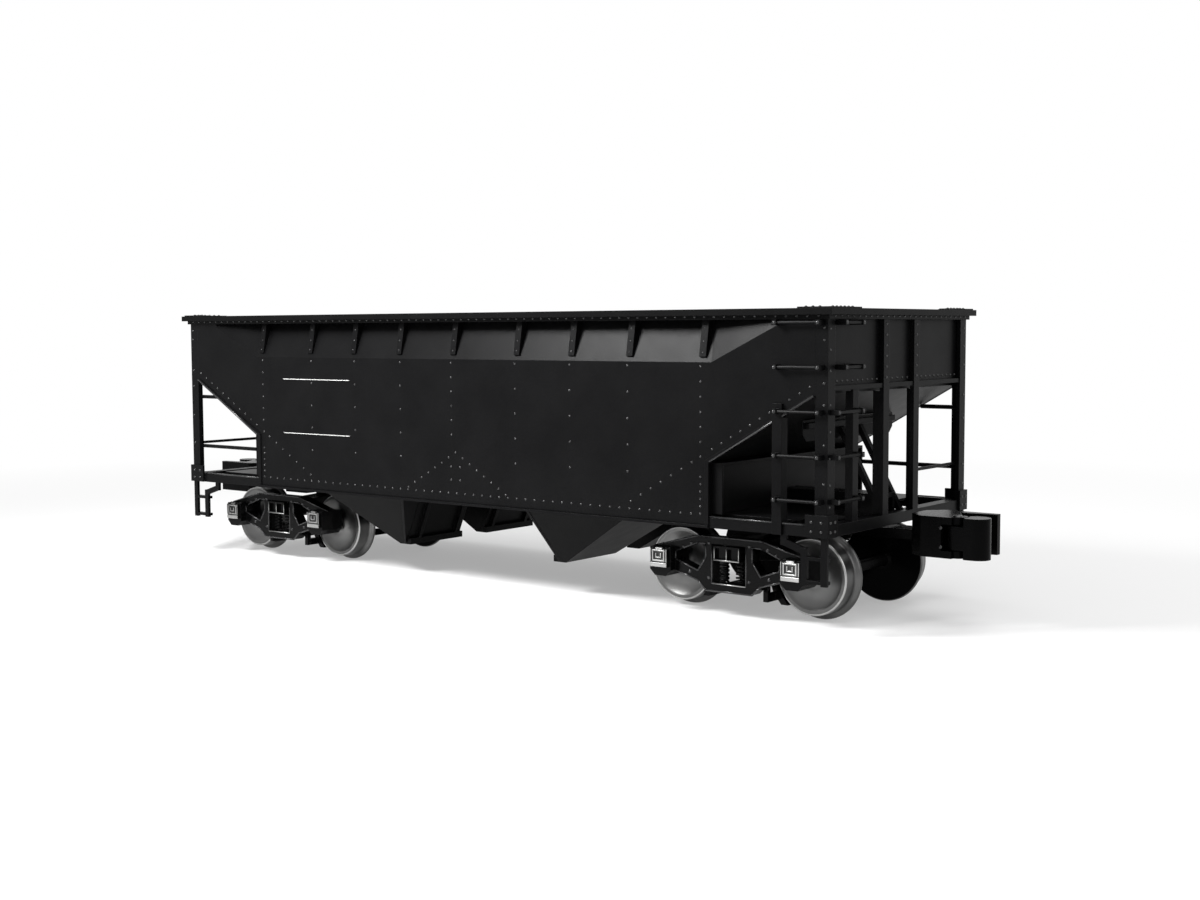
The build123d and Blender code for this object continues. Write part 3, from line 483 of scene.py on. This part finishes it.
def end_heads(form):
    """Rivet and bolt heads of the right end, turned half round for the left."""
    out, up = (1, 0, 0), (0, 0, 1)
    for side in (1, -1):
        for y in spaced(SHEET_ROW_FROM, HALF_W - SHEET_ROW_IN, SHEET_ROW_PITCH):
            dome(form, (END_X, side * y, SHEET_ROW_Z), out, RIVET, RIVET_HIGH)
        for z in END_COLUMN_Z:
            dome(form, (HALF_L, side * (HALF_W - END_COLUMN_IN), z), out, RIVET, RIVET_HIGH)
        for z in spaced(*CENTER_POST_ROW):
            dome(form, (HALF_L, side * CENTER_POST_Y, z), out, RIVET, RIVET_HIGH)
        for z in SHOE_BOLT_Z:
            for y in SHOE_BOLT_Y:
                dome(form, (HALF_L + SHOE, side * y, z), out, SMALL_BOLT, BOLT_HIGH)
    for y in spaced(*MIDDLE_ROW):
        dome(form, (END_X, y, SHEET_ROW_Z), out, RIVET, RIVET_HIGH)
    for y in spaced(-HALF_W + RIM_ROW_IN, HALF_W - RIM_ROW_IN, RIM_ROW_PITCH):
        dome(form, (HALF_L + RIM_LEG, y, RIM_ROW_Z), out, RIVET, RIVET_HIGH)
    for i, z in enumerate(RUNG_Z):
        for y in (OPEN_RUNG_Y if i < OPEN_RUNGS else HIGH_RUNG_Y, -STILE_Y):
            dome(form, (HALF_L + BRACKET_OUT, y, z), out, BOLT, BOLT_HIGH)
    for side in (1, -1):
        for x in GUSSET_X:
            dome(form, (x, side * HALF_W, GUSSET_TOP), up, SMALL_BOLT, BOLT_HIGH)
        for y in spaced(*GUSSET_ROW):
            dome(form, (HALF_L, side * y, GUSSET_TOP), up, SMALL_BOLT, BOLT_HIGH)


mesh_object("rivets_near", side_heads, [HIGHLIGHT_PAINT], "car_body")
mesh_object("rivets_far", turned(side_heads), [HIGHLIGHT_PAINT], "car_body")
mesh_object("rivets_right", end_heads, [HIGHLIGHT_PAINT], "car_body")
mesh_object("rivets_left", turned(end_heads), [HIGHLIGHT_PAINT], "car_body")


# Rolled edges of the open corners: along the slope of each side and on top of its sill, in the lighter
# rivet paint, which paints their highlights

EDGE_START = CUTOUT_X + 0.3
SLOPE_EDGE_END = 102.8
SLOPE_EDGE_OUT = 0.3
SLOPE_EDGE_UP = 0.12
SLOPE_EDGE_RADIUS = 0.26
SILL_EDGE_END = 101.0
SILL_EDGE_Z = span("side_sill_near")[1][2]
SILL_EDGE_RADIUS = 0.2


def rolled_edge_highlights(form):
    for side in (1, -1):
        for end in (1, -1):
            slope = [
                (end * x, side * (HALF_W + SLOPE_EDGE_OUT), slope_z(x) + SLOPE_EDGE_UP)
                for x in (EDGE_START, SLOPE_EDGE_END)
            ]
            bar(form, *slope, SLOPE_EDGE_RADIUS)
            sill = [(end * x, side * HALF_W, SILL_EDGE_Z) for x in (EDGE_START, SILL_EDGE_END)]
            bar(form, *sill, SILL_EDGE_RADIUS)


mesh_object("rolled_edge_highlights", rolled_edge_highlights, [HIGHLIGHT_PAINT], "car_body")


# Corner plates that close the bays beside their doors, along the leaning outer walls

WING_TOP = (22.0, 20.9)
WING_FOOT = (27.4, 8.0)
DOOR_Y = span("bay_doors_right")[1][1]
WALL_Y = span("bay_chutes_right")[1][1]
WING_BACK = (0.05, 0.85)


def door_wings(form):
    for end in (1, -1):
        for side in (1, -1):
            prism(form, *[
                [
                    (end * (x - back), side * y, z)
                    for (x, z), y in ((WING_TOP, WALL_Y), (WING_TOP, DOOR_Y), (WING_FOOT, DOOR_Y))
                ]
                for back in WING_BACK
            ])


mesh_object("door_wings", door_wings, [BODY], "car_body", smooth=False)


# Cross channels under the end slope sheets, where the braces meet them

CHANNEL_X = 93.0
CHANNEL_PLATE = 0.4
CHANNEL_FACE = ((-21.0, 44.85), (21.0, 44.85), (21.0, 41.6), (19.5, 40.1), (-19.5, 40.1), (-21.0, 41.6))
FLANGE_OUT = 1.1
FLANGE_HALF = 20.4
FLANGE_Z = (42.9, 44.3)
FLANGE_EDGE = 0.15


def slope_channels(form):
    for end in (1, -1):
        prism(form, *[
            [(end * (CHANNEL_X - back), y, z) for y, z in CHANNEL_FACE]
            for back in (0.0, CHANNEL_PLATE)
        ])
        x0, x1 = sorted((end * CHANNEL_X, end * (CHANNEL_X + FLANGE_OUT)))
        plate(form, (x0, -FLANGE_HALF, FLANGE_Z[0]), (x1, FLANGE_HALF, FLANGE_Z[1]), FLANGE_EDGE)


mesh_object("slope_channels", slope_channels, [BODY], "car_body", smooth=False)


# White rules on the left of each side as it is seen

RULE_Z = (51.73, 36.85)
RULE_X = (39.0, 65.5)
RULE_HALF = 0.1
RULE_PROUD = 0.03


def white_rules(form):
    for z in RULE_Z:
        for side in (-1, 1):
            x0, x1 = sorted(side * x for x in RULE_X)
            y0, y1 = sorted((side * HALF_W, side * (HALF_W + RULE_PROUD)))
            cuboid(form, (x0, y0, z - RULE_HALF), (x1, y1, z + RULE_HALF))


mesh_object("white_rules", white_rules, [RULE], "car_body", smooth=False)


# Turned wheels on their axles in place of the many-sided ones

WHEEL_MATERIALS = [TREAD, PLATE, EDGE_HIGHLIGHT, COUPLER]
AXLE_AND_BACK = (
    (1.5, 0.0), (1.5, 13.6), (1.8, 13.95), (2.4, 14.2), (9.45, 14.2), (9.8, 14.27),
)
FLANGE_AND_TREAD = (
    (10.0, 14.45), (10.05, 14.72), (9.98, 14.98), (9.75, 15.2), (9.35, 15.36), (9.02, 15.52),
    (8.86, 15.75), (8.8, 16.1), (8.74, 18.8), (8.7, 19.05),
)
# The rounded outer edge of the rim takes the lighter steel, as a painted highlight
OUTER_EDGE = ((8.62, 19.2), (8.48, 19.3), (8.3, 19.3))
RIM_RING = ((7.75, 19.3),)
DISH_AND_HUB = (
    (7.6, 19.27), (7.42, 19.18), (7.1, 19.02), (6.7, 18.86), (6.2, 18.7), (5.6, 18.56),
    (5.0, 18.47), (4.4, 18.44), (3.8, 18.5), (3.2, 18.66), (2.8, 18.85), (2.55, 19.03), (2.3, 19.16),
    (1.9, 19.26), (1.0, 19.26), (1.0, 24.85), (0.85, 25.0), (0.0, 25.0),
)
WHEEL_PROFILE = [
    (WHEEL_MATERIALS.index(material), point)
    for material, points in (
        (COUPLER, AXLE_AND_BACK),
        (TREAD, FLANGE_AND_TREAD),
        (EDGE_HIGHLIGHT, OUTER_EDGE),
        (TREAD, RIM_RING),
        (PLATE, DISH_AND_HUB),
    )
    for point in points
]
WHEEL_STEPS = 80


def wheels(x):
    """Two wheels on their axle.

    The profile's points are a radius and a distance from the car's middle, from the axle's middle
    out to the journal's end.
    """
    def build(form):
        for side in (1, -1):
            rings = []
            for _, (radius, out) in WHEEL_PROFILE:
                points = around(radius, WHEEL_STEPS) if radius > 0 else [(0.0, 0.0)]
                rings.append([form.verts.new((x + dx, side * out, AXLE_Z + dz)) for dx, dz in points])
            for a, b, (tint, _) in zip(rings, rings[1:], WHEEL_PROFILE[1:]):
                for i in range(WHEEL_STEPS):
                    j = (i + 1) % WHEEL_STEPS
                    corners = (a[i], a[j], b[j], b[i]) if len(b) > 1 else (a[i], a[j], b[0])
                    form.faces.new(corners).material_index = tint
        bmesh.ops.remove_doubles(form, verts=form.verts, dist=0.0001)
    return build


for end_name, end in ENDS:
    for place, offset in (("outer", HALF_BASE), ("inner", -HALF_BASE)):
        name = f"wheelset_{place}_{end_name}"
        x = end * (TRUCK_X + offset)
        piece = mesh_object(f"turned_{name}", wheels(x), WHEEL_MATERIALS, name)
        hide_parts(name)


# Journal box lids: plates on the lid's face, as X from its middle, Z and edge, and a hinge on top, in
# light steel that paints their highlights

LID_HALF = 2.3
LID_PROUD = 0.28
FOOT_BAND = ((-LID_HALF, LID_HALF), (LID_LOW, LID_LOW + 1.0), 0.1)
RAISED_FRAME = (
    ((-1.75, -1.4), (11.6, 14.3), 0.08),
    ((1.4, 1.75), (11.6, 14.3), 0.08),
    ((-1.4, 1.4), (11.6, 11.95), 0.08),
    ((-1.4, 1.4), (13.95, 14.3), 0.08),
)
LATCH = (
    ((-0.8, -0.55), (12.4, 13.5), 0.06),
    ((0.55, 0.8), (12.4, 13.5), 0.06),
    ((-0.55, 0.55), (12.4, 12.65), 0.06),
)
SIDE_RIBS = (
    ((-LID_HALF, -2.1), (LID_LOW + 1.2, LID_HIGH), 0.06),
    ((2.1, LID_HALF), (LID_LOW + 1.2, LID_HIGH), 0.06),
)
HINGE_HALF = 0.9
HINGE_RADIUS = 0.36
HINGE_SIDES = 10
HINGE_Y = LID_Y - 0.3
HINGE_Z = LID_HIGH + 0.05


def lid_frames(end):
    def build(form):
        for side in (1, -1):
            for offset in (HALF_BASE, -HALF_BASE):
                x = end * TRUCK_X + offset
                y0, y1 = sorted((side * LID_Y, side * (LID_Y + LID_PROUD)))
                for (x0, x1), (z0, z1), edge in (FOOT_BAND,) + RAISED_FRAME + LATCH + SIDE_RIBS:
                    plate(form, (x + x0, y0, z0), (x + x1, y1, z1), edge)
                ring = around(HINGE_RADIUS, HINGE_SIDES)
                prism(form, *[
                    [(hinge_x, side * HINGE_Y + dy, HINGE_Z + dz) for dy, dz in ring]
                    for hinge_x in (x - HINGE_HALF, x + HINGE_HALF)
                ])
    return build


# Cast beads round the truck frames' members, as X from the truck's middle and Z, in the lighter rivet
# paint, which paints highlights along the frames' edges

FRAME_BEADS = (
    ((-8.6, 18.0), (8.6, 18.0), (20.45, 14.8)),
    ((-8.6, 18.0), (-20.45, 14.8)),
    ((-14.65, 9.6), (-8.4, 7.76), (-6.2, 5.7), (6.2, 5.7), (8.4, 7.76), (14.65, 9.6)),
    ((-4.6, 16.4), (-4.6, PLANK_TOP)),
    ((4.6, PLANK_TOP), (4.6, 16.4)),
)
WINDOW_BEADS = (
    (6.2, 16.4), (6.2, 13.2), (8.4, 10.0), (14.65, 12.16), (14.65, 14.0), (8.6, 16.4), (6.2, 16.4),
)
BEAD_RADIUS = 0.22
BEAD_SUNK = 0.05


def frame_bead_highlights(end):
    paths = FRAME_BEADS + (WINDOW_BEADS, tuple((-x, z) for x, z in WINDOW_BEADS))

    def build(form):
        for side in (1, -1):
            for path in paths:
                for a, b in zip(path, path[1:]):
                    ends = [(end * TRUCK_X + x, side * (FRAME_OUT - BEAD_SUNK), z) for x, z in (a, b)]
                    bar(form, *ends, BEAD_RADIUS)
    return build


# Painted highlights on the edges of the bolsters' pockets, their three ribs, and the spring planks: bars
# of light steel

POCKET_HALF = 3.4
POCKET_Z = (13.0, 16.0)
POCKET_RIBS = (-3.25, 0.0, 3.25)
RIB_RADIUS = 0.1
PLANK_HALF = 4.5
HIGHLIGHT_RADIUS = 0.16


def truck_edge_highlights(end):
    edges = ((POCKET_HALF, BOLSTER_OUT, POCKET_Z[0]), (PLANK_HALF, FRAME_OUT, PLANK_TOP))

    def build(form):
        for side in (1, -1):
            for half, y, z in edges:
                ends = [(end * TRUCK_X + x, side * y, z) for x in (-half, half)]
                bar(form, *ends, HIGHLIGHT_RADIUS)
            for x in POCKET_RIBS:
                ends = [(end * TRUCK_X + x, side * BOLSTER_OUT, z) for z in POCKET_Z]
                bar(form, *ends, RIB_RADIUS)
    return build


# Bolt heads of the truck frames, as X from the truck's middle and Z, and on top of the boxes

FRAME_BOLTS = ((5.4, 16.6), (5.4, 8.6), (10.2, 16.2), (12.4, 15.2), (10.6, 9.6))
BOX_BOLT_OUT = 2.2
BOX_BOLT_Y = 27.2
BOX_TOP = 14.8


def truck_bolts(end):
    def build(form):
        for side in (1, -1):
            for sx in (1, -1):
                for run, z in FRAME_BOLTS:
                    place = (end * TRUCK_X + sx * run, side * FRAME_OUT, z)
                    dome(form, place, (0, side, 0), BOLT, BOLT_HIGH)
                box_x = end * TRUCK_X + sx * HALF_BASE
                for x in (box_x - BOX_BOLT_OUT, box_x + BOX_BOLT_OUT):
                    dome(form, (x, side * BOX_BOLT_Y, BOX_TOP), (0, 0, 1), BOLT, BOLT_HIGH)
    return build


for name, end in ENDS:
    body = f"truck_{name}"
    mesh_object(f"lid_frames_{name}", lid_frames(end), [HIGHLIGHT_STEEL], body, smooth=False)
    mesh_object(f"truck_bolts_{name}", truck_bolts(end), [HIGHLIGHT_PAINT], body)
    mesh_object(f"frame_bead_highlights_{name}", frame_bead_highlights(end), [HIGHLIGHT_PAINT], body)
    mesh_object(f"truck_edge_highlights_{name}", truck_edge_highlights(end), [HIGHLIGHT_STEEL], body)


# Pin heads and side bolts of the couplers

PIN_HEAD = 1.15
PIN_HEAD_HIGH = 0.4
PIN_SIDES = 16
HEAD_BOLT_X = 119.0
HEAD_BOLT_Z = (21.6, 17.4)


def coupler_heads(form):
    dome(form, (*KNUCKLE, COUPLER_TOP), (0, 0, 1), PIN_HEAD, PIN_HEAD_HIGH, PIN_SIDES)
    for z in HEAD_BOLT_Z:
        dome(form, (HEAD_BOLT_X, -COUPLER_SIDE, z), (0, -1, 0), BOLT, BOLT_HIGH)


mesh_object("coupler_heads_right", coupler_heads, [HIGHLIGHT_PAINT], "truck_right")
mesh_object("coupler_heads_left", turned(coupler_heads), [HIGHLIGHT_PAINT], "truck_left")


# Coil springs in place of the plain columns

COIL_RADIUS = 0.95
COIL_WIRE = 0.26
COIL_TURNS = 5.6
COIL_STEPS = 22
WIRE_SIDES = 7


def coil(form, x, y):
    low = PLANK_TOP + COIL_WIRE
    rise = SPRING_TOP - PLANK_TOP - 2 * COIL_WIRE
    count = int(COIL_TURNS * COIL_STEPS)
    up = Vector((0, 0, 1))
    rings = []
    for i in range(count + 1):
        angle = 2 * pi * i / COIL_STEPS
        out = Vector((cos(angle), sin(angle), 0))
        share = i / count
        center = Vector((x + COIL_RADIUS * cos(angle), y + COIL_RADIUS * sin(angle), low + rise * share))
        ring = []
        for k in range(WIRE_SIDES):
            turn = 2 * pi * k / WIRE_SIDES
            ring.append(form.verts.new(center + COIL_WIRE * (cos(turn) * out + sin(turn) * up)))
        rings.append(ring)
    for a, b in zip(rings, rings[1:]):
        for k in range(WIRE_SIDES):
            j = (k + 1) % WIRE_SIDES
            form.faces.new((a[k], a[j], b[j], b[k]))
    form.faces.new(rings[0])
    form.faces.new(rings[-1])


def truck_coils(end):
    def build(form):
        for sx in (1, -1):
            for sy in (1, -1):
                coil(form, end * TRUCK_X + sx * SPRING_SPREAD, sy * (FRAME_IN + FRAME_OUT) / 2)
    return build


for name, end in ENDS:
    coils = mesh_object(f"coil_springs_{name}", truck_coils(end), [GLOSS], f"truck_{name}")
    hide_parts(f"springs_{name}")


# Floor and light, in metres

WHITE = (1, 1, 1, 1)
FLOOR_HALF = 6.0
SHADOW_FROM = 0.12
SHADOW_TO = 0.42
GLOW_NEAR = 0.35
SKY_LIGHT = 0.5
FLOOR_GREYS = [(0.3, (0.86,)), (0.7, (0.88,))]


def seen(tree):
    """One where the camera, a gloss or a glass sees a surface."""
    path = tree.nodes.new("ShaderNodeLightPath")
    value = path.outputs["Is Camera Ray"]
    for ray in ("Is Glossy Ray", "Is Transmission Ray"):
        most = tree.nodes.new("ShaderNodeMath")
        most.operation = "MAXIMUM"
        tree.links.new(value, most.inputs[0])
        tree.links.new(path.outputs[ray], most.inputs[1])
        value = most.outputs[0]
    return value


def stage():
    """White floor that keeps the car's shadow near it and is plain white further off."""
    material, tree, shader, coords = new_material("floor_white")
    tone = ramp(tree, noise(tree, coords, 3), FLOOR_GREYS)
    tree.links.new(tone, shader.inputs["Base Color"])
    shader.inputs["Roughness"].default_value = 0.9
    shader.inputs["Specular IOR Level"].default_value = 0.1
    glow = tree.nodes.new("ShaderNodeEmission")
    glow.inputs["Color"].default_value = WHITE
    glow.inputs["Strength"].default_value = 1.0
    far_off = tree.nodes.new("ShaderNodeVectorMath")
    far_off.operation = "LENGTH"
    tree.links.new(coords.outputs["Object"], far_off.inputs[0])
    share = tree.nodes.new("ShaderNodeMapRange")
    share.inputs["From Min"].default_value = SHADOW_FROM
    share.inputs["From Max"].default_value = SHADOW_TO
    share.inputs["To Min"].default_value = GLOW_NEAR
    share.inputs["To Max"].default_value = 1.0
    tree.links.new(far_off.outputs["Value"], share.inputs["Value"])
    factor = tree.nodes.new("ShaderNodeMath")
    factor.operation = "MULTIPLY"
    tree.links.new(seen(tree), factor.inputs[0])
    tree.links.new(share.outputs["Result"], factor.inputs[1])
    mix = tree.nodes.new("ShaderNodeMixShader")
    tree.links.new(factor.outputs[0], mix.inputs["Fac"])
    tree.links.new(shader.outputs["BSDF"], mix.inputs[1])
    tree.links.new(glow.outputs["Emission"], mix.inputs[2])
    tree.links.new(mix.outputs["Shader"], tree.nodes["Material Output"].inputs["Surface"])
    mesh = bpy.data.meshes.new("floor")
    form = bmesh.new()
    bmesh.ops.create_grid(form, x_segments=2, y_segments=2, size=FLOOR_HALF)
    form.to_mesh(mesh)
    form.free()
    mesh.materials.append(material)
    floor = link(bpy.data.objects.new("floor", mesh))


def world():
    """Soft light from all round, seen as plain white."""
    studio = bpy.data.worlds.new("studio")
    bpy.context.scene.world = studio
    studio.use_nodes = True
    tree = studio.node_tree
    light = tree.nodes["Background"]
    light.inputs["Color"].default_value = WHITE
    light.inputs["Strength"].default_value = SKY_LIGHT
    backdrop = tree.nodes.new("ShaderNodeBackground")
    backdrop.inputs["Color"].default_value = WHITE
    backdrop.inputs["Strength"].default_value = 1.0
    mix = tree.nodes.new("ShaderNodeMixShader")
    tree.links.new(seen(tree), mix.inputs["Fac"])
    tree.links.new(light.outputs[0], mix.inputs[1])
    tree.links.new(backdrop.outputs[0], mix.inputs[2])
    tree.links.new(mix.outputs[0], tree.nodes["World Output"].inputs["Surface"])


def lamp(name, place, target, size, power):
    """A soft rectangle of light that faces its target, with its power in watts."""
    data = bpy.data.lights.new(name, "AREA")
    data.shape = "RECTANGLE"
    data.size, data.size_y = size
    data.energy = power
    obj = link(bpy.data.objects.new(name, data))
    place = Vector(place)
    obj.location = place
    obj.rotation_euler = (Vector(target) - place).to_track_quat("-Z", "Y").to_euler()


stage()
world()
lamp("key", (-0.05, -0.158, 0.178), (0.06, -0.033, 0.055), (0.076, 0.076), 1.1)
lamp("top", (0.15, 0.1, 1.0), (0.0, 0.0, 0.04), (0.9, 0.7), 5.0)
lamp("end", (0.9, -0.25, 0.45), (0.1, 0.0, 0.04), (0.4, 0.4), 1.3)


# Camera as fitted to the photograph, in millimetres, radians and the photograph's pixels

CAMERA = (265.2, -313.06, 64.89)
AZIMUTH, RISE, ROLL = 0.66771, 0.07213, -0.00412
PHOTO_WIDTH, PHOTO_HEIGHT = 1200, 900
FOCAL_PX = 1532.3
CENTER_PX = (595.4, 440.7)
SENSOR = 36.0

back = Vector((sin(AZIMUTH) * cos(RISE), -cos(AZIMUTH) * cos(RISE), sin(RISE)))
right = Vector((0, 0, 1)).cross(back).normalized()
up = back.cross(right)
right, up = (right * cos(ROLL) + up * sin(ROLL), up * cos(ROLL) - right * sin(ROLL))
view = bpy.data.cameras.new("camera")
view.sensor_width = SENSOR
view.lens = FOCAL_PX / PHOTO_WIDTH * SENSOR
view.shift_x = (PHOTO_WIDTH / 2 - CENTER_PX[0]) / PHOTO_WIDTH
view.shift_y = (CENTER_PX[1] - PHOTO_HEIGHT / 2) / PHOTO_WIDTH
view.clip_start = 0.01
view.clip_end = 50.0
camera = link(bpy.data.objects.new("camera", view))
turn = Matrix((right, up, back)).transposed().to_4x4()
camera.matrix_world = Matrix.Translation(Vector(CAMERA) * MM) @ turn
bpy.context.scene.camera = camera
bpy.context.scene.view_settings.view_transform = "Standard"
